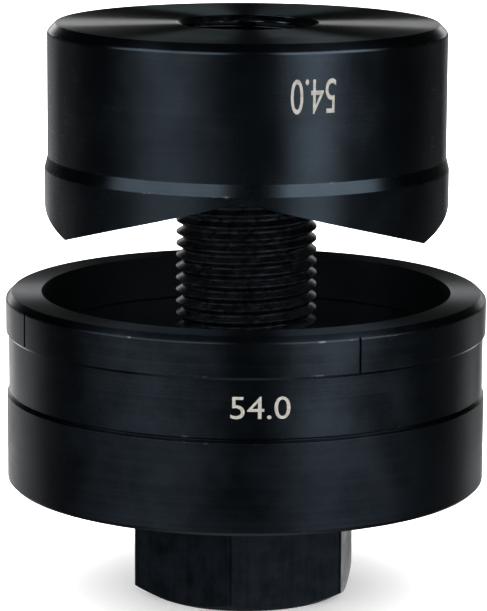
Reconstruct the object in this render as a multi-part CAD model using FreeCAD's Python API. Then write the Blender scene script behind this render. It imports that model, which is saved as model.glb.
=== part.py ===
"""Screw-driven sheet metal hole punch: a three-point punch, a cupped die, and a draw screw
that turns on a ball thrust bearing.

Millimetres, +Z up. The origin is the middle of the hexagon head's lower face, on the screw's
axis. The front is -Y, and an angle called "from the front" opens towards +X.
"""

import FreeCAD
import Part
import math
import os

from FreeCAD import Vector

# Hole and cutting

hole_diameter = 54.0
cutting_clearance = 0.5
point_count = 3
point_depth = 7.3
rim_hollow_angle = 6.0
first_point_from_front = 58.8
land_over_valley = 0.7

# Punch

punch_shank_step = 0.4
punch_cone_height = 1.6
punch_shank_height = 17.65
punch_edge = 1.1
punch_edge_round = 0.7
punch_rim_width = 6.5
punch_recess_over_ramps = 0.7
punch_recess_round = 1.0
punch_bore_countersink = 0.8
rest_gap_over_die = 8.8

# Die

die_wall = 4.8
die_cavity_depth = 17.8
die_floor_over_pocket = 3.0
die_floor_round = 2.0
die_cutting_land = 6.0
die_relief = 0.3
top_band_height = 5.2
middle_band_height = 8.5
middle_band_step = 0.35
lower_band_step = 0.1
band_groove_width = 0.6
band_groove_depth = 0.35
rim_chamfer = 0.8
rim_chamfer_round = 0.4
base_chamfer = 0.5
base_chamfer_round = 0.2
die_base_under_race = 1.2
screw_hole_clearance = 0.45
line_count = 4
line_width = 0.45
line_depth = 0.3
first_line_from_front = 26.5

# Draw screw

thread_diameter = 18.9
thread_pitch = 1.5875
thread_depth_per_pitch = 0.6
thread_crest_per_pitch = 0.125
thread_flank_angle = 30.0
thread_clearance = 0.15
thread_root_play = 0.2
thread_end_chamfer = 1.2
thread_crest_over_head = 36.15
screw_end_below_punch_top = 4.25
shank_over_thread = 0.05
shank_over_die_floor = 1.0
shank_end_chamfer = 1.1
head_across_flats = 28.0
head_height = 12.0
head_corner_round = 0.8
head_chamfer_inside_flats = 0.4
head_chamfer_angle = 30.0
head_vertex_from_front = -7.0
washer_face_inside_flats = 0.5
washer_face_height = 0.4

# Ball thrust bearing

ball_diameter = 4.0
ball_spacing = 1.1
balls_over_shank = 3.6
race_groove_clearance = 0.1
race_groove_depth = 0.73
race_edge_round = 0.3
ball_play = 0.03
lower_race_thickness = 1.8
lower_race_beyond_balls = 2.4
lower_race_fit = 0.05
upper_race_thickness = 1.8
upper_race_beyond_balls = 2.9
upper_race_fit = 0.05
upper_race_bore_clearance = 0.7
cage_face_clearance = 0.55
cage_inside_balls = 2.7
cage_beyond_balls = 2.2
cage_pocket_clearance = 0.12

# Retaining ring

ring_thickness = 1.2
ring_beyond_shank = 1.7
ring_groove_depth = 0.8
ring_fit = 0.05
ring_over_race = 0.25
ring_roof_clearance = 0.55
ring_pocket_clearance = 1.3
ring_gap = 3.0

# Radii that follow

land_radius = hole_diameter / 2
punch_shank_radius = land_radius - punch_shank_step
recess_radius = land_radius - punch_rim_width
rim_hollow = punch_rim_width * math.tan(math.radians(rim_hollow_angle))
bore_radius = land_radius + cutting_clearance
top_band_radius = bore_radius + die_wall
middle_band_radius = top_band_radius - middle_band_step
lower_band_radius = top_band_radius - lower_band_step

thread_radius = thread_diameter / 2
thread_root_radius = thread_radius - thread_depth_per_pitch * thread_pitch
tap_radius = thread_radius + thread_clearance
tap_root_radius = thread_root_radius + thread_root_play
shank_radius = thread_radius + shank_over_thread
ring_groove_radius = shank_radius - ring_groove_depth
ring_radius = shank_radius + ring_beyond_shank

ball_ring_radius = shank_radius + balls_over_shank
lower_race_radius = ball_ring_radius + lower_race_beyond_balls
upper_race_radius = ball_ring_radius + upper_race_beyond_balls
race_groove_radius = ball_diameter / 2 + race_groove_clearance
ball_count = int(2 * math.pi * ball_ring_radius / (ball_diameter + ball_spacing))

# Levels that follow, upwards from the head's lower face

lower_race_top = head_height + lower_race_thickness
ball_level = lower_race_top - race_groove_depth + ball_diameter / 2 + ball_play
upper_race_bottom = 2 * ball_level - lower_race_top
upper_race_top = upper_race_bottom + upper_race_thickness
ring_bottom = upper_race_top + ring_over_race
ring_top = ring_bottom + ring_thickness

die_base = upper_race_bottom - die_base_under_race
ring_pocket_roof = ring_top + ring_roof_clearance
die_cavity_floor = ring_pocket_roof + die_floor_over_pocket
die_rim = die_cavity_floor + die_cavity_depth
top_band_foot = die_rim - top_band_height
middle_band_foot = top_band_foot - middle_band_height

tip_level = die_rim + rest_gap_over_die
valley_level = tip_level + point_depth
recess_roof = valley_level + rim_hollow + punch_recess_over_ramps
cone_foot = valley_level + land_over_valley
cone_top = cone_foot + punch_cone_height
punch_top = cone_top + punch_shank_height

shank_top = die_cavity_floor + shank_over_die_floor
screw_top = punch_top - screw_end_below_punch_top

# How far one solid runs past another that it cuts
over = 2.0


def rounded_wire(corners):
    """A closed wire through the corners. Each corner is a point and the radius that rounds it."""
    edges = []
    joints = []
    for i, (point, radius) in enumerate(corners):
        if not radius:
            joints.append((point, point))
            continue
        back = corners[i - 1][0].sub(point).normalize()
        ahead = corners[(i + 1) % len(corners)][0].sub(point).normalize()
        half = back.getAngle(ahead) / 2
        start = point.add(back * (radius / math.tan(half)))
        end = point.add(ahead * (radius / math.tan(half)))
        middle = back.add(ahead).normalize() * (radius / math.sin(half) - radius)
        edges.append(Part.Arc(start, point.add(middle), end).toShape())
        joints.append((start, end))
    for i, (start, end) in enumerate(joints):
        edges.append(Part.makeLine(end, joints[(i + 1) % len(joints)][0]))
    return Part.Wire(Part.__sortEdges__(edges))


def turned(outline):
    """A solid turned about the screw's axis. The outline holds (radius, level) or
    (radius, level, rounding) for each corner."""
    corners = []
    for corner in outline:
        rounding = corner[2] if len(corner) > 2 else 0
        corners.append((Vector(corner[0], 0, corner[1]), rounding))
    face = Part.Face(rounded_wire(corners))
    return face.revolve(Vector(0, 0, 0), Vector(0, 0, 1), 360)


def facing(shape, from_front):
    """The shape, made pointing along +X, turned about the axis to an angle from the front."""
    shape.rotate(Vector(0, 0, 0), Vector(0, 0, 1), from_front - 90)
    return shape


# The drawing thread, cut on the screw and, grown by its clearances, out of the punch


def one_turn(radius, level):
    """One turn of the right-hand thread's helix, from the +X side back to it."""
    edge = Part.makeHelix(thread_pitch, thread_pitch, radius)
    edge.translate(Vector(0, 0, level))
    return edge.Edges[0]


def circle_at(radius, level):
    return Part.Circle(Vector(0, 0, level), Vector(0, 0, 1), radius).toShape()


def threaded_rod(root, crest, first_crest, turns):
    """A round rod of radius root with a thread ridge of radius crest.

    The crest first crosses the +X side at first_crest. The flanks, the crest and the rod
    between two turns are ruled faces, a set for each turn, sewn into one shell.
    """
    half_crest = thread_crest_per_pitch * thread_pitch / 2
    half_root = half_crest + (crest - root) * math.tan(math.radians(thread_flank_angle))
    last_crest = first_crest + (turns - 1) * thread_pitch
    bottom = first_crest - thread_pitch - over
    top = last_crest + 2 * thread_pitch + over
    faces = []
    for k in range(turns):
        level = first_crest + k * thread_pitch
        low_root = one_turn(root, level - half_root)
        low_crest = one_turn(crest, level - half_crest)
        high_crest = one_turn(crest, level + half_crest)
        high_root = one_turn(root, level + half_root)
        faces.append(Part.makeRuledSurface(low_root, low_crest))
        faces.append(Part.makeRuledSurface(low_crest, high_crest))
        faces.append(Part.makeRuledSurface(high_crest, high_root))
        if k < turns - 1:
            next_root = one_turn(root, level + thread_pitch - half_root)
            faces.append(Part.makeRuledSurface(high_root, next_root))
    first_root = one_turn(root, first_crest - half_root)
    last_root = one_turn(root, last_crest + half_root)
    faces.append(Part.makeRuledSurface(circle_at(root, bottom), first_root))
    faces.append(Part.makeRuledSurface(last_root, circle_at(root, top)))
    for level in (first_crest, last_crest + thread_pitch):
        corners = [
            Vector(root, 0, level - half_root),
            Vector(crest, 0, level - half_crest),
            Vector(crest, 0, level + half_crest),
            Vector(root, 0, level + half_root),
        ]
        faces.append(Part.Face(Part.makePolygon(corners + corners[:1])))
    for level in (bottom, top):
        faces.append(Part.Face(Part.Wire([circle_at(root, level)])))
    shell = Part.makeShell([face for shape in faces for face in shape.Faces])
    shell.sewShape()
    rod = Part.makeSolid(shell)
    if rod.Volume < 0:
        rod.reverse()
    return rod


def threaded_rod_over(root, crest, low, high):
    """A threaded rod that runs past low and high. Every such rod's thread is in phase."""
    phase = head_height + thread_crest_over_head
    first_crest = phase + thread_pitch * math.floor((low - over - phase) / thread_pitch)
    turns = math.ceil((high + over - first_crest) / thread_pitch)
    return threaded_rod(root, crest, first_crest, turns)


# Punch: one turned steel block. The wide land at its lower rim cuts the sheet, a short cone
# runs up to the narrower shank, and the rim slopes in even ramps between the cutting points.
# The ramps are ground hollow: they rise inwards too, so that the land's outer edge cuts first.


def rim_ramps():
    """What is ground off the rim: two ramps, of opposite slope, up from each point."""
    sector = 180.0 / point_count
    lead = point_depth * 360.0 / sector
    cutters = []
    for k in range(point_count):
        for left_hand in (False, True):
            inner_edge = Part.makeHelix(lead, point_depth, recess_radius - over, 0, left_hand)
            inner_edge.translate(Vector(0, 0, rim_hollow * (punch_rim_width + over) / punch_rim_width))
            outer_edge = Part.makeHelix(lead, point_depth, land_radius + over, 0, left_hand)
            outer_edge.translate(Vector(0, 0, -rim_hollow * over / punch_rim_width))
            ramp = Part.makeRuledSurface(inner_edge.Edges[0], outer_edge.Edges[0])
            cutter = ramp.Faces[0].extrude(Vector(0, 0, -point_depth - 2 * over))
            cutter.translate(Vector(0, 0, tip_level))
            cutters.append(facing(cutter, first_point_from_front + k * 2 * sector))
    return cutters


def countersink(face_level, outwards):
    """A 45 degree cone that opens the bore where it meets a face. Outwards is 1 up, -1 down."""
    mouth = tap_root_radius + punch_bore_countersink
    return turned([
        (0, face_level - outwards * mouth),
        (mouth + over, face_level + outwards * over),
        (0, face_level + outwards * over),
    ])


def make_punch():
    blank_foot = tip_level - over
    body = turned([
        (0, blank_foot),
        (land_radius, blank_foot),
        (land_radius, cone_foot),
        (punch_shank_radius, cone_top),
        (punch_shank_radius, punch_top - punch_edge, punch_edge_round),
        (punch_shank_radius - punch_edge, punch_top),
        (0, punch_top),
    ])
    recess = turned([
        (0, blank_foot - over),
        (recess_radius, blank_foot - over),
        (recess_radius, recess_roof, punch_recess_round),
        (0, recess_roof),
    ])
    body = body.cut(recess)
    for cutter in rim_ramps():
        body = body.cut(cutter)
    body = body.cut(threaded_rod_over(tap_root_radius, tap_radius, recess_roof, punch_top))
    upper_mouth = countersink(punch_top, 1)
    lower_mouth = countersink(recess_roof, -1)
    return body.cut(upper_mouth).cut(lower_mouth)


# Die: a turned steel cup. The sheet lies on its rim, the punch enters its mouth, and the slug
# drops into its cavity. The screw passes its floor, and the bearing sits under the floor.


def centring_line(from_front):
    """One line cut down the top band, for setting the die on a scribed cross."""
    depth = line_depth + over
    height = top_band_height + over
    corner = Vector(top_band_radius - line_depth, -line_width / 2, top_band_foot)
    return facing(Part.makeBox(depth, line_width, height, corner), from_front)


def make_die():
    relief_radius = bore_radius + die_relief
    land_foot = die_rim - die_cutting_land
    hole_radius = shank_radius + screw_hole_clearance
    pocket_radius = ring_radius + ring_pocket_clearance
    seat_radius = upper_race_radius + upper_race_fit
    body = turned([
        (seat_radius, die_base),
        (lower_band_radius - base_chamfer, die_base),
        (lower_band_radius, die_base + base_chamfer, base_chamfer_round),
        (lower_band_radius, middle_band_foot),
        (middle_band_radius - band_groove_depth, middle_band_foot + band_groove_width / 2),
        (middle_band_radius, middle_band_foot + band_groove_width),
        (middle_band_radius, top_band_foot - middle_band_step),
        (top_band_radius, top_band_foot),
        (top_band_radius, die_rim - rim_chamfer, rim_chamfer_round),
        (top_band_radius - rim_chamfer, die_rim),
        (bore_radius, die_rim),
        (bore_radius, land_foot),
        (relief_radius, land_foot - die_relief),
        (relief_radius, die_cavity_floor, die_floor_round),
        (hole_radius, die_cavity_floor),
        (hole_radius, ring_pocket_roof),
        (pocket_radius, ring_pocket_roof),
        (pocket_radius, upper_race_top),
        (seat_radius, upper_race_top),
    ])
    for k in range(line_count):
        body = body.cut(centring_line(first_line_from_front + k * 360.0 / line_count))
    return body


# Draw screw: hexagon head, a plain shank that carries the bearing, and the drawing thread.


def hexagon_head():
    vertex_radius = head_across_flats / 2 / math.cos(math.radians(30))
    corners = []
    for k in range(6):
        angle = math.radians(head_vertex_from_front + k * 60 - 90)
        corner = Vector(vertex_radius * math.cos(angle), vertex_radius * math.sin(angle), 0)
        corners.append((corner, head_corner_round))
    prism_height = head_height - washer_face_height
    prism = Part.Face(rounded_wire(corners)).extrude(Vector(0, 0, prism_height))
    chamfer_foot = head_across_flats / 2 - head_chamfer_inside_flats
    reach = vertex_radius + over
    rise = (reach - chamfer_foot) * math.tan(math.radians(head_chamfer_angle))
    chamfered = turned([
        (0, 0),
        (chamfer_foot, 0),
        (reach, rise),
        (reach, head_height),
        (0, head_height),
    ])
    washer_radius = head_across_flats / 2 - washer_face_inside_flats
    washer_face = Part.makeCylinder(washer_radius, head_height)
    return prism.common(chamfered).fuse(washer_face)


def make_draw_screw():
    shank = turned([
        (0, head_height / 2),
        (shank_radius, head_height / 2),
        (shank_radius, ring_bottom - ring_fit),
        (ring_groove_radius, ring_bottom - ring_fit),
        (ring_groove_radius, ring_top + ring_fit),
        (shank_radius, ring_top + ring_fit),
        (shank_radius, shank_top),
        (shank_radius - shank_end_chamfer, shank_top + shank_end_chamfer),
        (0, shank_top + shank_end_chamfer),
    ])
    thread = threaded_rod_over(thread_root_radius, thread_radius, shank_top, screw_top)
    stock_radius = thread_radius + over
    stock = turned([
        (0, shank_top),
        (stock_radius, shank_top),
        (stock_radius, screw_top - thread_end_chamfer - over),
        (thread_radius - thread_end_chamfer, screw_top),
        (0, screw_top),
    ])
    return thread.common(stock).fuse(shank).fuse(hexagon_head())


# Ball thrust bearing: two grooved washers, a ring of balls and the cage that spaces them.
# The lower washer turns with the screw, and the upper one is seated in the die.


def race(bore, outside, bottom, top, groove_level):
    """A washer with rounded outer edges and the groove that the balls roll in."""
    washer = turned([
        (bore, bottom),
        (outside, bottom, race_edge_round),
        (outside, top, race_edge_round),
        (bore, top),
    ])
    groove = Part.makeTorus(ball_ring_radius, race_groove_radius)
    groove.translate(Vector(0, 0, groove_level))
    return washer.cut(groove)


def make_bearing_lower_race():
    bore = shank_radius + lower_race_fit
    groove_level = lower_race_top - race_groove_depth + race_groove_radius
    return race(bore, lower_race_radius, head_height, lower_race_top, groove_level)


def make_bearing_upper_race():
    bore = shank_radius + upper_race_bore_clearance
    groove_level = upper_race_bottom + race_groove_depth - race_groove_radius
    return race(bore, upper_race_radius, upper_race_bottom, upper_race_top, groove_level)


def ball_places():
    places = []
    for k in range(ball_count):
        angle = 2 * math.pi * k / ball_count
        x = ball_ring_radius * math.cos(angle)
        y = ball_ring_radius * math.sin(angle)
        places.append(Vector(x, y, ball_level))
    return places


def make_bearing_balls():
    balls = [Part.makeSphere(ball_diameter / 2, place) for place in ball_places()]
    return Part.makeCompound(balls)


def make_bearing_ball_cage():
    inside = ball_ring_radius - cage_inside_balls
    outside = ball_ring_radius + cage_beyond_balls
    bottom = lower_race_top + cage_face_clearance
    top = upper_race_bottom - cage_face_clearance
    cage = turned([(inside, bottom), (outside, bottom), (outside, top), (inside, top)])
    pocket_radius = ball_diameter / 2 + cage_pocket_clearance
    for place in ball_places():
        foot = Vector(place.x, place.y, bottom - over)
        cage = cage.cut(Part.makeCylinder(pocket_radius, top - bottom + 2 * over, foot))
    return cage


# Retaining ring: an open spring ring in the shank's groove, just above the upper race.


def make_retaining_ring():
    inside = ring_groove_radius + ring_fit
    ring = turned([
        (inside, ring_bottom),
        (ring_radius, ring_bottom),
        (ring_radius, ring_top),
        (inside, ring_top),
    ])
    corner = Vector(0, -ring_gap / 2, ring_bottom - over)
    gap = Part.makeBox(ring_radius + over, ring_gap, ring_thickness + 2 * over, corner)
    return ring.cut(gap)


pieces = {
    "punch": make_punch,
    "die": make_die,
    "draw_screw": make_draw_screw,
    "bearing_upper_race": make_bearing_upper_race,
    "bearing_balls": make_bearing_balls,
    "bearing_ball_cage": make_bearing_ball_cage,
    "bearing_lower_race": make_bearing_lower_race,
    "retaining_ring": make_retaining_ring,
}

os.makedirs("parts", exist_ok=True)
for name, make in pieces.items():
    shape = make()
    shape.exportStep(os.path.join("parts", name + ".step"))
    print(name, "solids", len(shape.Solids), "valid", shape.isValid())
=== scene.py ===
import math

import bmesh
import bpy
from mathutils import Matrix, Vector


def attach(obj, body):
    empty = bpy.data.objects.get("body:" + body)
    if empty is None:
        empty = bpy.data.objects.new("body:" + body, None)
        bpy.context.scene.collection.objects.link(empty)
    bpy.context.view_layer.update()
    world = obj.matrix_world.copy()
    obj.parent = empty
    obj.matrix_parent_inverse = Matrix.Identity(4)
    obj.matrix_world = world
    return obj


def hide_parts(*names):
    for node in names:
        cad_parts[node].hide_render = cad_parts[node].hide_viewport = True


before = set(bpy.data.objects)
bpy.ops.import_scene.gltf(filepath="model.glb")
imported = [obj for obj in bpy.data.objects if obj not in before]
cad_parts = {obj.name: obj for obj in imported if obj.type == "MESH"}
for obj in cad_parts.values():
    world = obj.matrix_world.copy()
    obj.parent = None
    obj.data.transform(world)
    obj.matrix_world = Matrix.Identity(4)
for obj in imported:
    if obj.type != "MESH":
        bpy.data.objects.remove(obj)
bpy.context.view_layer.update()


# Draw screw. One steel bar: a rolled right-hand thread above, a plain shank with the retaining
# ring's groove, and a hexagon head turned and chamfered from drawn bar. All of it is blackened.

thread_crest = 9.45
thread_root = 8.4975
thread_pitch = 1.5875
thread_half_crest = 0.099
thread_half_root = 0.649
crest_on_right_side = 48.15
shank_radius = 9.5
shank_top = 24.2
screw_top = 72.8
screw_end_chamfer = 1.2
head_top = 12.0
hexagon_top = 11.6
washer_face_radius = 13.5
chamfer_foot_radius = 13.6
across_flats = 28.0
hexagon_corner_round = 0.8
hexagon_vertex_from_front = -7.0
ring_groove_radius = 8.7
ring_groove_foot = 18.4
ring_groove_top = 19.7
shoulder_chamfer = 0.12
head_join_radius = 11.0


def softened(corners, closed=True, deburr=0.08):
    """Points along an outline of (radius, level) corners in mm, each corner broken by a small arc.
    A third number in a corner is the arc's own radius."""
    places = [Vector((corner[0], 0, corner[1])) for corner in corners]
    points = []
    for i, here in enumerate(places):
        rounding = corners[i][2] if len(corners[i]) > 2 else deburr
        if rounding == 0 or (not closed and i in (0, len(places) - 1)):
            points.append(here)
            continue
        back = (places[i - 1] - here).normalized()
        ahead = (places[(i + 1) % len(places)] - here).normalized()
        half = back.angle(ahead) / 2
        centre = here + (back + ahead).normalized() * (rounding / math.sin(half))
        start = (here + back * (rounding / math.tan(half)) - centre).normalized()
        end = (here + ahead * (rounding / math.tan(half)) - centre).normalized()
        pieces = max(2, math.ceil(math.degrees(math.pi - 2 * half) / 23))
        points += [centre + start.slerp(end, k / pieces) * rounding for k in range(pieces + 1)]
    return points


def turned(points, steps, first_from_front=90.0, closed=True):
    """A skin turned about the screw's axis from an outline in the plane of the +X side."""
    shape = bmesh.new()
    verts = [shape.verts.new(point) for point in points]
    ends = verts[1:] + verts[:1] if closed else verts[1:]
    edges = [shape.edges.new(pair) for pair in zip(verts, ends)]
    start = Matrix.Rotation(math.radians(first_from_front - 90), 3, "Z")
    bmesh.ops.rotate(shape, cent=(0, 0, 0), matrix=start, verts=verts)
    bmesh.ops.spin(shape, geom=verts + edges, cent=(0, 0, 0), axis=(0, 0, 1),
                   angle=2 * math.pi, steps=steps, use_merge=True)
    bmesh.ops.remove_doubles(shape, verts=shape.verts, dist=0.0005)
    return shape


def threaded(root, crest, half_root, half_crest, low, high, steps):
    """A helical thread skin between two levels. Its crest crosses the +X side at a set level."""
    shape = bmesh.new()
    turns_below = math.ceil((crest_on_right_side - low) / thread_pitch) + 1
    turns = turns_below + math.ceil((high - crest_on_right_side) / thread_pitch) + 1
    first = crest_on_right_side - turns_below * thread_pitch
    outline = softened([
        (root, first - thread_pitch / 2),
        (root, first - half_root, 0.12),
        (crest, first - half_crest, 0.07),
        (crest, first + half_crest, 0.07),
        (root, first + half_root, 0.12),
        (root, first + thread_pitch / 2),
    ], closed=False)
    verts = [shape.verts.new(point) for point in outline]
    edges = [shape.edges.new(pair) for pair in zip(verts, verts[1:])]
    bmesh.ops.spin(shape, geom=verts + edges, cent=(0, 0, 0), axis=(0, 0, 1),
                   dvec=(0, 0, thread_pitch / steps), angle=2 * math.pi, steps=steps)
    first_turn = shape.verts[:] + shape.edges[:] + shape.faces[:]
    for k in range(1, turns):
        next_turn = bmesh.ops.duplicate(shape, geom=first_turn)["geom"]
        next_verts = [part for part in next_turn if isinstance(part, bmesh.types.BMVert)]
        bmesh.ops.translate(shape, vec=(0, 0, k * thread_pitch), verts=next_verts)
    bmesh.ops.remove_doubles(shape, verts=shape.verts, dist=0.001)
    for level, side in ((low, -1), (high, 1)):
        everything = shape.verts[:] + shape.edges[:] + shape.faces[:]
        bmesh.ops.bisect_plane(shape, geom=everything, dist=0.0001, plane_co=(0, 0, level),
                               plane_no=(0, 0, side), clear_outer=True)
    return shape


def radius_of(vert):
    return math.hypot(vert.co.x, vert.co.y)


def set_radius(vert, radius):
    old = radius_of(vert)
    vert.co.x *= radius / old
    vert.co.y *= radius / old


def open_edges(shape, level, within=0.001):
    """The open edges of a skin that lie at a level."""
    return [edge for edge in shape.edges if edge.is_boundary
            and all(abs(vert.co.z - level) < within for vert in edge.verts)]


def carried_on(shape, edges, outline):
    """Extrudes an open ring of edges through the (radius, level) places of an outline."""
    for radius, level in outline:
        grown = bmesh.ops.extrude_edge_only(shape, edges=edges)["geom"]
        for vert in [part for part in grown if isinstance(part, bmesh.types.BMVert)]:
            set_radius(vert, radius)
            vert.co.z = level
        edges = [part for part in grown if isinstance(part, bmesh.types.BMEdge)
                 and all(abs(vert.co.z - level) < 0.001 for vert in part.verts)
                 and part.is_boundary]
    return edges


def finished(shape, name, sharp_angle=25.0):
    """The finished piece in metres, with smooth skin and crisp edges. Its place is in its mesh."""
    bmesh.ops.remove_doubles(shape, verts=shape.verts, dist=0.0005)
    bmesh.ops.recalc_face_normals(shape, faces=shape.faces)
    bmesh.ops.scale(shape, vec=(0.001, 0.001, 0.001), verts=shape.verts)
    mesh = bpy.data.meshes.new(name)
    shape.to_mesh(mesh)
    shape.free()
    mesh.shade_smooth()
    mesh.set_sharp_from_angle(angle=math.radians(sharp_angle))
    piece = bpy.data.objects.new(name, mesh)
    bpy.context.collection.objects.link(piece)
    evened = piece.modifiers.new("even_shading", "WEIGHTED_NORMAL")
    evened.keep_sharp = True
    return piece


screw_skin = threaded(thread_root, thread_crest, thread_half_root, thread_half_crest,
                      shank_top, screw_top, 96)
for vert in screw_skin.verts:
    above_chamfer = vert.co.z - (screw_top - screw_end_chamfer)
    if above_chamfer > 0:
        set_radius(vert, min(radius_of(vert), thread_crest - above_chamfer))
    run_out = shank_radius - (vert.co.z - shank_top)
    set_radius(vert, max(radius_of(vert), run_out))
bmesh.ops.edgeloop_fill(screw_skin, edges=open_edges(screw_skin, screw_top))

shank_outline = softened([
    (shank_radius, shank_top),
    (shank_radius, ring_groove_top),
    (ring_groove_radius, ring_groove_top),
    (ring_groove_radius, ring_groove_foot),
    (shank_radius, ring_groove_foot),
    (shank_radius, head_top),
], closed=False)
carried_on(screw_skin, open_edges(screw_skin, shank_top),
           [(point.x, point.z) for point in shank_outline[1:]])

vertex_radius = across_flats / 2 / math.cos(math.radians(30))
hexagon = bmesh.new()
bmesh.ops.create_circle(hexagon, segments=6, radius=vertex_radius)
facing = Matrix.Rotation(math.radians(hexagon_vertex_from_front - 90), 3, "Z")
corner = max(hexagon.verts, key=lambda vert: vert.co.x)
offset = Matrix.Rotation(-math.atan2(corner.co.y, corner.co.x), 3, "Z")
bmesh.ops.rotate(hexagon, cent=(0, 0, 0), matrix=facing @ offset, verts=hexagon.verts)
flats = hexagon.edges[:]
corner_setback = hexagon_corner_round * math.tan(math.radians(30))
bmesh.ops.bevel(hexagon, geom=hexagon.verts[:], offset=corner_setback, offset_type="OFFSET",
                segments=6, profile=0.5, affect="VERTICES", material=-1)
# The flats are divided, because the turned chamfer below them draws a curve on each
long_edges = [edge for edge in hexagon.edges if edge.calc_length() > 5]
bmesh.ops.subdivide_edges(hexagon, edges=long_edges, cuts=23)
outline_edges = hexagon.edges[:]
for vert in hexagon.verts:
    vert.co.z = hexagon_top - shoulder_chamfer
grown = bmesh.ops.extrude_edge_only(hexagon, edges=outline_edges)["geom"]
chamfer_edges = [part for part in grown if isinstance(part, bmesh.types.BMEdge)
                 and part.is_boundary and part not in outline_edges]
for vert in [part for part in grown if isinstance(part, bmesh.types.BMVert)]:
    vert.co.z = (radius_of(vert) - chamfer_foot_radius) * math.tan(math.radians(30))
chamfer_ring = bmesh.ops.extrude_edge_only(hexagon, edges=chamfer_edges)["geom"]
for vert in [part for part in chamfer_ring if isinstance(part, bmesh.types.BMVert)]:
    set_radius(vert, chamfer_foot_radius)
    vert.co.z = 0
bmesh.ops.edgeloop_fill(hexagon, edges=open_edges(hexagon, 0))
flats_top = open_edges(hexagon, hexagon_top - shoulder_chamfer)
shoulder = bmesh.ops.extrude_edge_only(hexagon, edges=flats_top)["geom"]
for vert in [part for part in shoulder if isinstance(part, bmesh.types.BMVert)]:
    set_radius(vert, radius_of(vert) - shoulder_chamfer)
    vert.co.z = hexagon_top
carried_on(hexagon, open_edges(hexagon, hexagon_top), [
    (washer_face_radius, hexagon_top),
    (washer_face_radius, head_top),
    (head_join_radius, head_top),
])
head_mesh = bpy.data.meshes.new("hexagon_head")
hexagon.to_mesh(head_mesh)
hexagon.free()
screw_skin.from_mesh(head_mesh)
bpy.data.meshes.remove(head_mesh)
bmesh.ops.bridge_loops(screw_skin, edges=open_edges(screw_skin, head_top))
for face in screw_skin.faces:
    middle = face.calc_center_median()
    on_head = middle.z < head_top - 0.01 and math.hypot(middle.x, middle.y) > shank_radius + 0.1
    face.material_index = 1 if on_head or middle.z < 0.01 else 0


def linear(hex_colour):
    """An sRGB hex colour as the linear colour that a socket takes."""
    channels = [int(hex_colour[i:i + 2], 16) / 255 for i in (1, 3, 5)]
    return [c / 12.92 if c <= 0.04045 else ((c + 0.055) / 1.055) ** 2.4 for c in channels] + [1.0]


def add_node(tree, kind, settings={}, inputs={}):
    """Adds a node with its settings. An input is a value, or the socket that feeds it."""
    node = tree.nodes.new("ShaderNode" + kind)
    for name, value in settings.items():
        setattr(node, name, value)
    for name, value in inputs.items():
        if isinstance(value, bpy.types.NodeSocket):
            tree.links.new(value, node.inputs[name])
        else:
            node.inputs[name].default_value = value
    return node


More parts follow.
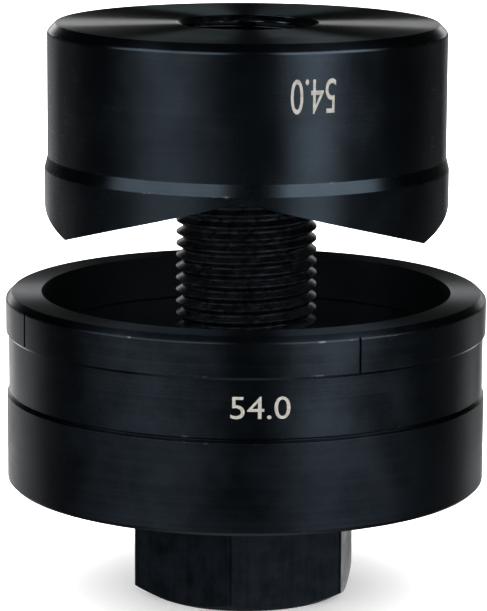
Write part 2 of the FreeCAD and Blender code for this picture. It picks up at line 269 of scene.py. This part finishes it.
def steel(name, dark, light, roughness, worn="#85888c", metallic=1.0, anisotropic=0.0,
          edge_rings=(), line_mm=0.35, line_depth=0.000005, drawn=False, grain_mm=0.16,
          grain_depth=0.000002, patch_mm=7.0, wear_share=0.6, spread=(0.62, 1.15), graze=1.0):
    """Steel with its tool marks, a patchy coat, and edges worn brighter.

    dark, light and worn are the coat's two tones and the steel under it. Tool marks run round
    the axis, or along it on drawn bar. edge_rings are the (radius, level) of the turned edges.
    spread is where between the coat's darkest and lightest spots its two tones lie, and graze
    is how much it reflects at a grazing angle.
    """
    marks_in_tone = 0.45
    grain_in_tone = 0.35
    drawn_stretch = 0.04
    wear_reach = 0.00025
    wear_fade = 0.16
    material = bpy.data.materials.new(name)
    material.use_nodes = True
    tree = material.node_tree
    tree.nodes.clear()
    place = add_node(tree, "TexCoord").outputs["Object"]
    across = add_node(tree, "VectorMath", {"operation": "MULTIPLY"}, {0: place, 1: (1, 1, 0)})
    radius = add_node(tree, "VectorMath", {"operation": "LENGTH"}, {0: across.outputs[0]})
    level = add_node(tree, "SeparateXYZ", {}, {0: place}).outputs["Z"]
    section = add_node(tree, "CombineXYZ", {}, {
        "X": radius.outputs["Value"], "Z": level}).outputs[0]
    marked_along = section
    if drawn:
        marked_along = add_node(tree, "VectorMath", {"operation": "MULTIPLY"}, {
            0: place, 1: (1, 1, drawn_stretch)}).outputs[0]
    marks = add_node(tree, "TexNoise", {}, {
        "Vector": marked_along, "Scale": 1000 / line_mm,
        "Detail": 3, "Roughness": 0.6}).outputs["Fac"]
    patches = add_node(tree, "TexNoise", {}, {
        "Vector": place, "Scale": 1000 / patch_mm,
        "Detail": 5, "Roughness": 0.62}).outputs["Fac"]
    grain = add_node(tree, "TexNoise", {}, {
        "Vector": place, "Scale": 1000 / grain_mm,
        "Detail": 2, "Roughness": 0.5}).outputs["Fac"]
    tone = add_node(tree, "Math", {"operation": "MULTIPLY_ADD"}, {
        0: marks, 1: marks_in_tone, 2: patches}).outputs[0]
    tone = add_node(tree, "Math", {"operation": "MULTIPLY_ADD"}, {
        0: grain, 1: grain_in_tone, 2: tone}).outputs[0]
    share = add_node(tree, "MapRange", {"interpolation_type": "SMOOTHSTEP"}, {
        "Value": tone, "From Min": spread[0], "From Max": spread[1]}).outputs["Result"]
    colour = add_node(tree, "Mix", {"data_type": "RGBA"}, {
        0: share, 6: linear(dark), 7: linear(light)}).outputs[2]
    if edge_rings:
        nearest = None
        for ring_radius, ring_level in edge_rings:
            ring = (ring_radius / 1000, 0, ring_level / 1000)
            away = add_node(tree, "VectorMath", {"operation": "DISTANCE"}, {
                0: section, 1: ring}).outputs["Value"]
            if nearest:
                away = add_node(tree, "Math", {"operation": "MINIMUM"}, {
                    0: nearest, 1: away}).outputs[0]
            nearest = away
        rub = add_node(tree, "TexNoise", {}, {
            "Vector": place, "Scale": 350, "Detail": 6, "Roughness": 0.75}).outputs["Fac"]
        rubbed = add_node(tree, "MapRange", {"interpolation_type": "SMOOTHSTEP"}, {
            "Value": rub, "From Min": wear_share,
            "From Max": wear_share + wear_fade}).outputs["Result"]
        close = add_node(tree, "MapRange", {"interpolation_type": "SMOOTHSTEP"}, {
            "Value": nearest, "From Min": wear_reach, "From Max": 0.0}).outputs["Result"]
        wear = add_node(tree, "Math", {"operation": "MULTIPLY"}, {
            0: rubbed, 1: close}).outputs[0]
        colour = add_node(tree, "Mix", {"data_type": "RGBA"}, {
            0: wear, 6: colour, 7: linear(worn)}).outputs[2]
    rough = add_node(tree, "MapRange", {}, {
        "Value": share, "To Min": roughness[0], "To Max": roughness[1]}).outputs["Result"]
    ridges = add_node(tree, "Bump", {}, {
        "Strength": 1.0, "Distance": line_depth, "Height": marks}).outputs[0]
    skin = add_node(tree, "Bump", {}, {
        "Strength": 1.0, "Distance": grain_depth, "Height": grain, "Normal": ridges}).outputs[0]
    shader = add_node(tree, "BsdfPrincipled", {}, {
        "Base Color": colour, "Metallic": metallic, "Roughness": rough, "Normal": skin,
        "Specular Tint": (graze, graze, graze, 1)})
    if anisotropic:
        shader.inputs["Anisotropic"].default_value = anisotropic
        shader.inputs["Anisotropic Rotation"].default_value = 0.25
        around = add_node(tree, "Tangent", {"direction_type": "RADIAL", "axis": "Z"})
        tree.links.new(around.outputs[0], shader.inputs["Tangent"])
    add_node(tree, "OutputMaterial", {}, {"Surface": shader.outputs[0]})
    return material


# Rolled thread, black oxide: the coat is satin and oily, and keeps the crests' slight shine.
# Its colours are painted darker than the head's: painted shade between punch and die
rolled_thread = steel("black_oxide_rolled_thread_painted_shade", dark="#101417", light="#343a40",
                      roughness=(0.26, 0.18), metallic=0.6, line_mm=0.3, line_depth=0.000004,
                      patch_mm=1.2, spread=(0.75, 1.25), graze=0.3)
# Drawn hexagon bar, black oxide: long draw marks run down its flats.
drawn_hexagon = steel("black_oxide_drawn_hexagon", dark="#1c2127", light="#2d343c",
                      roughness=(0.36, 0.52), line_mm=0.6, drawn=True, patch_mm=3.0)

draw_screw = finished(screw_skin, "draw_screw_dressed")
draw_screw.data.materials.append(rolled_thread)
draw_screw.data.materials.append(drawn_hexagon)
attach(draw_screw, "screw_body")
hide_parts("draw_screw")


# Bearing races. Two washers of hardened bearing steel with a ball groove, ground bright and
# oiled. The lower one sits on the head and turns with it, the upper one sits in the die.

# Ground bearing steel: bright, with very fine rings from the grinding wheel.
ground_steel = steel("ground_bearing_steel", dark="#9a9b9d", light="#b9babb",
                     roughness=(0.16, 0.26), anisotropic=0.5, line_mm=0.15,
                     line_depth=0.0000015, grain_depth=0.0000005)
for node in ("bearing_lower_race", "bearing_upper_race"):
    for material_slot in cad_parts[node].material_slots:
        material_slot.material = ground_steel


# Balls and cage. Sixteen polished 4 mm balls run in a flat cage stamped from brass sheet, which
# keeps them evenly apart.

# Polished ball steel: a near mirror with a trace of oil.
polished_ball = steel("polished_ball_steel", dark="#c3c4c6", light="#d3d4d5",
                      roughness=(0.06, 0.1), line_mm=0.5, line_depth=0.0000002,
                      grain_depth=0.0000001)
# Stamped brass sheet: satin yellow, slightly tarnished in patches.
stamped_brass = steel("stamped_cage_brass", dark="#a8823f", light="#c39a52",
                      roughness=(0.24, 0.36), line_mm=0.4, line_depth=0.000002, patch_mm=4.0)
for node, metal in (("bearing_balls", polished_ball), ("bearing_ball_cage", stamped_brass)):
    for material_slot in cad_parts[node].material_slots:
        material_slot.material = metal


# Retaining ring. An open ring of hard spring steel, phosphated matt grey, sprung into the
# shank's groove over the upper race.

# Phosphated spring steel: matt, grainy and faintly brown.
phosphated_spring = steel("phosphated_spring_steel", dark="#3b3b3a", light="#57564f",
                          roughness=(0.5, 0.66), line_mm=0.5, grain_mm=0.1,
                          grain_depth=0.000004)
for material_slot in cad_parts["retaining_ring"].material_slots:
    material_slot.material = phosphated_spring


# Die. A cup turned from tool steel and blackened: a cutting mouth, three bands outside with a
# fine groove between the lower two, and four centring lines cut down the top band.

die_rim = 41.0
top_band_foot = 35.8
top_band_radius = 32.3
middle_band_radius = 31.95
lower_band_top = 27.3
lower_band_radius = 32.2
die_foot = 15.2
mouth_radius = 27.5
cavity_radius = 27.8
cavity_floor = 23.2
guide_bore_radius = 9.95
ring_room_top = 20.2
ring_room_radius = 12.5
race_seat = 18.2
race_seat_radius = 16.05
centring_line_depth = 0.3
first_line_from_front = 26.5
# One column of the turned skin is as wide as a centring line, 0.45 mm, and 112 fill a quarter
die_columns = 448
column_angle = 360 / die_columns

# Up the outside over the groove and the step to the rim, then down the inside
die_outline = softened([
    (race_seat_radius, die_foot),
    (31.7, die_foot),
    (lower_band_radius, 15.7, 0.2),
    (lower_band_radius, lower_band_top),
    (31.6, 27.6, 0.05),
    (middle_band_radius, 27.9),
    (middle_band_radius, 35.45),
    (top_band_radius, top_band_foot),
    (top_band_radius, 40.2, 0.4),
    (32.0, 40.5, 0),
    (31.5, die_rim),
    (mouth_radius, die_rim),
    (mouth_radius, 35.0),
    (cavity_radius, 34.7),
    (cavity_radius, cavity_floor, 2.0),
    (guide_bore_radius, cavity_floor),
    (guide_bore_radius, ring_room_top),
    (ring_room_radius, ring_room_top),
    (ring_room_radius, race_seat),
    (race_seat_radius, race_seat),
])
die_skin = turned(die_outline, die_columns, first_line_from_front - column_angle / 2)
line_faces = []
for face in die_skin.faces:
    middle = face.calc_center_median()
    from_line = (math.degrees(math.atan2(middle.x, -middle.y)) - first_line_from_front) % 90
    on_line = min(from_line, 90 - from_line) < column_angle / 4
    on_band = all(vert.co.z > top_band_foot + 0.03
                  and radius_of(vert) > top_band_radius - centring_line_depth - 0.001
                  for vert in face.verts)
    if on_line and on_band:
        line_faces.append(face)
sunk = bmesh.ops.extrude_face_region(die_skin, geom=line_faces)["geom"]
bmesh.ops.delete(die_skin, geom=line_faces, context="FACES_ONLY")
for vert in [part for part in sunk if isinstance(part, bmesh.types.BMVert)]:
    set_radius(vert, top_band_radius - centring_line_depth)
turned_bands, plain_band, faced_rim, inside = range(4)
for face in die_skin.faces:
    middle = face.calc_center_median()
    from_axis = math.hypot(middle.x, middle.y)
    below_rim = middle.z < die_rim - 0.1
    if from_axis < mouth_radius - 0.05 or (from_axis < cavity_radius + 0.1 and below_rim):
        face.material_index = inside
    elif middle.z > die_rim - 0.02:
        face.material_index = faced_rim
    elif middle.z < lower_band_top + 0.05:
        face.material_index = plain_band
    else:
        face.material_index = turned_bands

# Turned tool steel, black oxide: dull blue-black, with fine hoops from the lathe. The lower
# band is left rougher, the rim is faced in fine rings, and the inside is unpolished, and
# painted darker as painted shade in the cup's hollow.
die_edges = ((32.2, 15.65), (32.2, 27.25), (31.95, 27.95), (32.3, 35.85), (32.25, 40.2),
             (31.5, 41.0), (27.5, 41.0))
die_finishes = (
    steel("black_oxide_turned_bands", dark="#252c32", light="#353d45", roughness=(0.28, 0.36),
          anisotropic=0.8, line_mm=0.35, wear_share=0.56, edge_rings=die_edges),
    steel("black_oxide_plain_band", dark="#22282e", light="#30373f", roughness=(0.36, 0.46),
          anisotropic=0.65, line_mm=0.5, wear_share=0.58, edge_rings=die_edges),
    steel("black_oxide_faced_rim", dark="#2c343b", light="#39424a", roughness=(0.4, 0.48),
          anisotropic=1.0, line_mm=0.3, wear_share=0.62, edge_rings=die_edges),
    # The inside's dark colours are painted shade in the hollow of the cup
    steel("black_oxide_inside_painted_shade", dark="#14181c", light="#1d2328", roughness=(0.42, 0.55),
          metallic=0.7, line_mm=0.6),
)
die = finished(die_skin, "die_dressed")
for finish in die_finishes:
    die.data.materials.append(finish)
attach(die, "die_body")
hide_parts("die")


# Size mark on the die. The hole's diameter in plain figures, burnt through the black coat by
# a laser on the middle band, which leaves the steel pale and dull.

mark_thickness = 0.02
letter_strip = 0.4


def wrapped_mark(name, words, height, width, radius, middle_level, middle_from_front,
                 upside_down=False):
    """Plain figures as a thin closed skin laid round a turned band. Sizes are in mm."""
    writing = bpy.data.curves.new(name, "FONT")
    writing.body = words
    writing.align_x = "CENTER"
    writing.resolution_u = 6
    holder = bpy.data.objects.new(name, writing)
    bpy.context.collection.objects.link(holder)
    flat = bpy.data.meshes.new_from_object(holder)
    bpy.data.objects.remove(holder)
    bpy.data.curves.remove(writing)
    figures = bmesh.new()
    figures.from_mesh(flat)
    bpy.data.meshes.remove(flat)
    bmesh.ops.remove_doubles(figures, verts=figures.verts, dist=0.0001)
    low = [min(vert.co[axis] for vert in figures.verts) for axis in (0, 1)]
    high = [max(vert.co[axis] for vert in figures.verts) for axis in (0, 1)]
    turn = -1 if upside_down else 1
    for vert in figures.verts:
        along = (vert.co.x - (low[0] + high[0]) / 2) * width / (high[0] - low[0]) * turn
        up = (vert.co.y - (low[1] + high[1]) / 2) * height / (high[1] - low[1]) * turn
        vert.co = (along, 0, up)
    strips = int(width / letter_strip)
    for k in range(1, strips):
        everything = figures.verts[:] + figures.edges[:] + figures.faces[:]
        bmesh.ops.bisect_plane(figures, geom=everything, dist=0.0001,
                               plane_co=(-width / 2 + k * width / strips, 0, 0), plane_no=(1, 0, 0))
    bmesh.ops.recalc_face_normals(figures, faces=figures.faces)
    raised = bmesh.ops.extrude_face_region(figures, geom=figures.faces[:])["geom"]
    for vert in [part for part in raised if isinstance(part, bmesh.types.BMVert)]:
        vert.co.y = mark_thickness
    for vert in figures.verts:
        angle = vert.co.x / radius + math.radians(middle_from_front)
        reach = radius - mark_thickness / 4 + vert.co.y
        vert.co = (reach * math.sin(angle), -reach * math.cos(angle), middle_level + vert.co.z)
    return finished(figures, name)


# Laser-burnt steel: pale, dull and slightly grainy against the coat.
burnt_mark = steel("laser_burnt_mark", dark="#76736e", light="#928f89", roughness=(0.55, 0.7),
                   metallic=0.35, line_mm=0.12, line_depth=0.000002, patch_mm=0.6)
die_mark = wrapped_mark("die_size_mark", "54.0", 2.9, 7.6, middle_band_radius, 31.9, 3.4)
die_mark.data.materials.append(burnt_mark)
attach(die_mark, "die_body")


# Punch. A block turned from tool steel and blackened: a wide cutting land with three ground
# points at its lower rim, a short cone, a slimmer body, and the tapped bore that the screw pulls.

land_radius = 27.0
punch_shank_radius = 26.6
tip_level = 49.8
point_depth = 7.3
rim_hollow_angle = 6.0
recess_radius = 20.5
recess_roof = 58.483
cone_foot = 57.8
cone_top = 59.4
punch_top = 77.05
top_chamfer = 1.1
tap_crest = 9.6
tap_root = 8.6975
tap_half_root = 0.620
bore_mouth_radius = 9.4975
face_join_radius = 12.0
first_point_from_front = 58.8
punch_columns = 360

punch_outline = softened([
    (face_join_radius, recess_roof),
    (recess_radius, recess_roof, 1.0),
    (recess_radius, tip_level),
    (land_radius, tip_level, 0.05),
    (land_radius, cone_foot),
    (punch_shank_radius, cone_top),
    (punch_shank_radius, punch_top - top_chamfer, 0.7),
    (punch_shank_radius - top_chamfer, punch_top),
    (face_join_radius, punch_top),
], closed=False)
punch_skin = turned(punch_outline, punch_columns, first_point_from_front, closed=False)
for vert in punch_skin.verts:
    if vert.co.z < tip_level + 0.2:
        from_front = math.degrees(math.atan2(vert.co.x, -vert.co.y))
        from_point = (from_front - first_point_from_front) % 120
        vert.co.z += point_depth * min(from_point, 120 - from_point) / 60
        vert.co.z += (land_radius - radius_of(vert)) * math.tan(math.radians(rim_hollow_angle))

bore_skin = threaded(tap_root, tap_crest, tap_half_root, thread_half_crest,
                     recess_roof, punch_top, 120)
for vert in bore_skin.verts:
    from_face = min(vert.co.z - recess_roof, punch_top - vert.co.z)
    set_radius(vert, max(radius_of(vert), bore_mouth_radius - from_face))
bore_mesh = bpy.data.meshes.new("bore")
bore_skin.to_mesh(bore_mesh)
bore_skin.free()
punch_skin.from_mesh(bore_mesh)
bpy.data.meshes.remove(bore_mesh)
for level in (recess_roof, punch_top):
    bmesh.ops.bridge_loops(punch_skin, edges=open_edges(punch_skin, level))

outside, faced_top, recess, tapped_bore = range(4)
for face in punch_skin.faces:
    middle = face.calc_center_median()
    from_axis = math.hypot(middle.x, middle.y)
    if middle.z > punch_top - 0.02:
        face.material_index = faced_top
    elif from_axis < tap_crest + 0.1:
        face.material_index = tapped_bore
    elif from_axis < recess_radius + 0.1:
        face.material_index = recess
    else:
        face.material_index = outside

# Turned tool steel, black oxide: satin blue-black with a soft sheen that runs down the wall.
# The top is faced in fine rings, which spread the light into two fans. The recess is duller, and
# painted darker as painted shade in its hollow. The tapped bore is oily, with a glint here and
# there.
punch_edges = ((26.6, 75.9), (25.5, 77.05), (26.6, 59.4), (27.0, 57.8))
punch_finishes = (
    steel("black_oxide_turned_punch", dark="#2f373e", light="#3b444c", worn="#a3a5a7",
          roughness=(0.22, 0.28), anisotropic=0.62, line_mm=0.3, edge_rings=punch_edges),
    steel("black_oxide_faced_punch", dark="#343b3e", light="#42494b", worn="#a3a5a7",
          roughness=(0.41, 0.48), anisotropic=1.0, line_mm=0.4, edge_rings=punch_edges),
    # The recess's darker colours are painted shade in its hollow
    steel("black_oxide_punch_recess_painted_shade", dark="#1a1f24", light="#282f36",
          roughness=(0.36, 0.5), line_mm=0.6),
    steel("black_oxide_tapped_bore", dark="#1b2025", light="#50565c",
          roughness=(0.16, 0.3), line_mm=0.3, patch_mm=1.5),
)
punch = finished(punch_skin, "punch_dressed")
for finish in punch_finishes:
    punch.data.materials.append(finish)
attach(punch, "punch_body")
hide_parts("punch")


# Size mark on the punch. The same plain figures, upside down as the punch hangs, and condensed
# to fit their narrow place.

punch_mark = wrapped_mark("punch_size_mark", "54.0", 4.4, 6.0, punch_shank_radius, 70.45, 18.3,
                          upside_down=True)
punch_mark.data.materials.append(burnt_mark)
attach(punch_mark, "punch_body")


# Studio. A pale floor, softly lit from below, and soft light from large panels: one on each side
# in front, and a pale wall behind. The steel sees the panels and not the floor.

floor_shape = bmesh.new()
bmesh.ops.create_grid(floor_shape, x_segments=1, y_segments=1, size=4.0)
floor_mesh = bpy.data.meshes.new("floor")
floor_shape.to_mesh(floor_mesh)
floor_shape.free()
floor = bpy.data.objects.new("floor", floor_mesh)
bpy.context.collection.objects.link(floor)
floor.visible_glossy = False
pale_floor = bpy.data.materials.new("pale_studio_floor")
pale_floor.use_nodes = True
tree = pale_floor.node_tree
tree.nodes.clear()
spot = add_node(tree, "TexCoord").outputs["Object"]
cloudy = add_node(tree, "TexNoise", {}, {"Vector": spot, "Scale": 3, "Detail": 2}).outputs["Fac"]
paper = add_node(tree, "Mix", {"data_type": "RGBA"}, {
    0: cloudy, 6: linear("#f4f4f4"), 7: linear("#f8f8f8")})
matt = add_node(tree, "BsdfPrincipled", {}, {
    "Base Color": paper.outputs[2], "Roughness": 0.9,
    "Emission Color": linear("#ffffff"), "Emission Strength": 0.22})
add_node(tree, "OutputMaterial", {}, {"Surface": matt.outputs[0]})
floor_mesh.materials.append(pale_floor)

# Each panel: its two side edges in degrees from the front, its lower and upper edges in degrees
# over the horizon, how far in its sides and its lower and upper edges fade, and its strength
panels = (
    (-86, -9, 4, 54, 8, 8, 1.85),
    (17, 84, 5, 54, 8, 8, 2.9),
    (-80, -10, -20, 10, 34, 14, 0.8),
    (15, 62, -20, 10, 22, 14, 1.8),
    (148, 179, 0, 12.4, 4, 5, 1.4),
    (181, 212, 0, 12.4, 4, 5, 1.9),
    (157, 212, -30, -8, 10, 5, 1.2),
    (150, 228, -12, -2, 14, 4, 0.28),
    (-185, -108, -28, -12, 30, 5, 1.3),
    (122, 185, -28, -13, 30, 6, 1.6),
    (-181, 181, -28, -12, 1, 6, 0.15),
    (-181, 181, -120, -62, 1, 8, 0.8),
    (-181, 181, -120, 0, 1, 5, 0.025),
)
dark_room = 0.012
pale_room = 2.4
studio = bpy.data.worlds.new("studio")
studio.use_nodes = True
# The steel sees another room than the floor, so light from the world isn't aimed by its map
studio.cycles.sampling_method = "NONE"
bpy.context.scene.world = studio
tree = studio.node_tree
tree.nodes.clear()
way = add_node(tree, "SeparateXYZ", {}, {0: add_node(tree, "TexCoord").outputs["Generated"]})
forward = add_node(tree, "Math", {"operation": "MULTIPLY"}, {0: way.outputs["Y"], 1: -1})
bearing = add_node(tree, "Math", {"operation": "ARCTAN2"}, {
    0: way.outputs["X"], 1: forward.outputs[0]}).outputs[0]
height = add_node(tree, "Math", {"operation": "ARCSINE"}, {0: way.outputs["Z"]}).outputs[0]
seen = dark_room
for left, right, low, high, side_soft, edge_soft, strength in panels:
    middle, half = math.radians((left + right) / 2), math.radians((right - left) / 2)
    turned_away = add_node(tree, "Math", {"operation": "SUBTRACT"}, {
        0: bearing, 1: middle}).outputs[0]
    nearest_way = add_node(tree, "Math", {"operation": "WRAP"}, {
        0: turned_away, 1: math.pi, 2: -math.pi}).outputs[0]
    aside = add_node(tree, "Math", {"operation": "ABSOLUTE"}, {0: nearest_way}).outputs[0]
    glow = strength
    for value, dark_at, bright_at in (
            (aside, half, half - math.radians(side_soft)),
            (height, math.radians(low), math.radians(low + edge_soft)),
            (height, math.radians(high), math.radians(high - edge_soft))):
        edge = add_node(tree, "MapRange", {"interpolation_type": "SMOOTHSTEP"}, {
            "Value": value, "From Min": dark_at, "From Max": bright_at}).outputs["Result"]
        glow = add_node(tree, "Math", {"operation": "MULTIPLY"}, {
            0: edge, 1: glow}).outputs[0]
    seen = add_node(tree, "Math", {"operation": "ADD"}, {0: glow, 1: seen}).outputs[0]
ray = add_node(tree, "LightPath")
steel_sees = add_node(tree, "Background", {}, {
    "Color": linear("#ffffff"), "Strength": seen}).outputs[0]
floor_sees = add_node(tree, "Background", {}, {
    "Color": linear("#ffffff"), "Strength": pale_room}).outputs[0]
whole = add_node(tree, "MixShader", {}, {
    0: ray.outputs["Is Glossy Ray"], 1: floor_sees, 2: steel_sees})
add_node(tree, "OutputWorld", {}, {"Surface": whole.outputs[0]})

overhead = bpy.data.lights.new("overhead_softbox", "AREA")
overhead.shape = "RECTANGLE"
overhead.size = 1.6
overhead.size_y = 1.2
overhead.energy = 45
softbox = bpy.data.objects.new("overhead_softbox", overhead)
softbox.location = (0, 0.2, 1.5)
softbox.visible_camera = False
softbox.visible_glossy = False
bpy.context.collection.objects.link(softbox)
bpy.context.scene.view_settings.view_transform = "Standard"
bpy.context.scene.cycles.use_denoising = True


# Camera. It looks down on the tool from the front by 11 degrees, with a long lens.

tilt_down = 0.193416
roll = 0.00577
camera_data = bpy.data.cameras.new("camera")
camera_data.sensor_fit = "HORIZONTAL"
camera_data.sensor_width = 36
camera_data.lens = 241.33
camera_data.shift_x = -0.0052
camera = bpy.data.objects.new("camera", camera_data)
aim = Matrix.Rotation(math.pi / 2 - tilt_down, 4, "X") @ Matrix.Rotation(roll, 4, "Z")
camera.matrix_world = Matrix.Translation((0, -0.43186, 0.12335)) @ aim
bpy.context.collection.objects.link(camera)
bpy.context.scene.camera = camera
